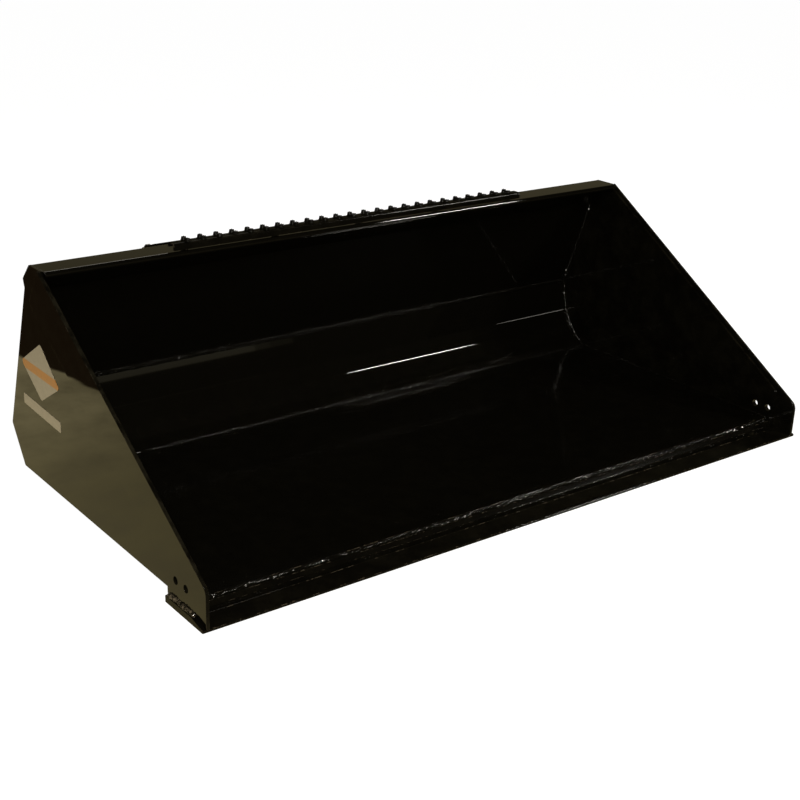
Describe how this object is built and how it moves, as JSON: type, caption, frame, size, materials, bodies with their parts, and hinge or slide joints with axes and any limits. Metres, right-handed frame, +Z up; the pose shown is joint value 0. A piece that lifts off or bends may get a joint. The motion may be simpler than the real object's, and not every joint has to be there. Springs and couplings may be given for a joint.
{
  "type": "skid steer bucket",
  "caption": "Wide welded steel loader bucket with straight cutting edge, raised grip step on its top rail and a rear quick-attach for a compact loader.",
  "frame": {"origin": "on the ground, at the middle of the whole bucket's box", "axes": "+X across the bucket, -Y out of the open mouth, +Y towards the machine, +Z up"},
  "size_m": [1.829, 1.016, 0.58],
  "materials": {
    "shell_paint": "gloss black paint over rolled plate, with light dust and rubbed edges",
    "edge": "gloss black paint, scuffed along the front and on the ends",
    "step": "satin black paint worn on the teeth",
    "weld_bead": "gloss black paint over rippled weld beads",
    "label": "plain pale vinyl"
  },
  "bodies": {
    "root": {"cutting_edge": "edge", "lip_plate": "shell_paint", "floor_plate": "shell_paint", "heel_plate": "shell_paint", "back_plate": "shell_paint", "side_plate_left": "shell_paint", "side_plate_right": "shell_paint", "side_cutter_left": "shell_paint", "side_cutter_right": "shell_paint", "top_rail": "shell_paint", "step_tread": "step", "step_teeth": "step", "step_feet": "shell_paint", "wear_bar_1": "shell_paint", "wear_bar_2": "shell_paint", "wear_bar_3": "shell_paint", "wear_bar_4": "shell_paint", "mount_gusset_left": "shell_paint", "mount_gusset_right": "shell_paint", "mount_rib_left": "shell_paint", "mount_rib_right": "shell_paint", "mount_saddle": "shell_paint", "mount_lower_plate": "shell_paint", "weld_floor_front": "weld_bead", "weld_floor_heel": "weld_bead", "weld_heel_back": "weld_bead", "weld_inside_left": "weld_bead", "weld_inside_right": "weld_bead", "weld_ledge_left": "weld_bead", "weld_ledge_right": "weld_bead", "weld_cutter_left": "weld_bead", "weld_cutter_right": "weld_bead", "weld_wear_bars": "weld_bead", "weld_mount": "weld_bead", "weld_step": "weld_bead", "side_label": "label", "side_stripe": "label"}
  },
  "joints": []
}
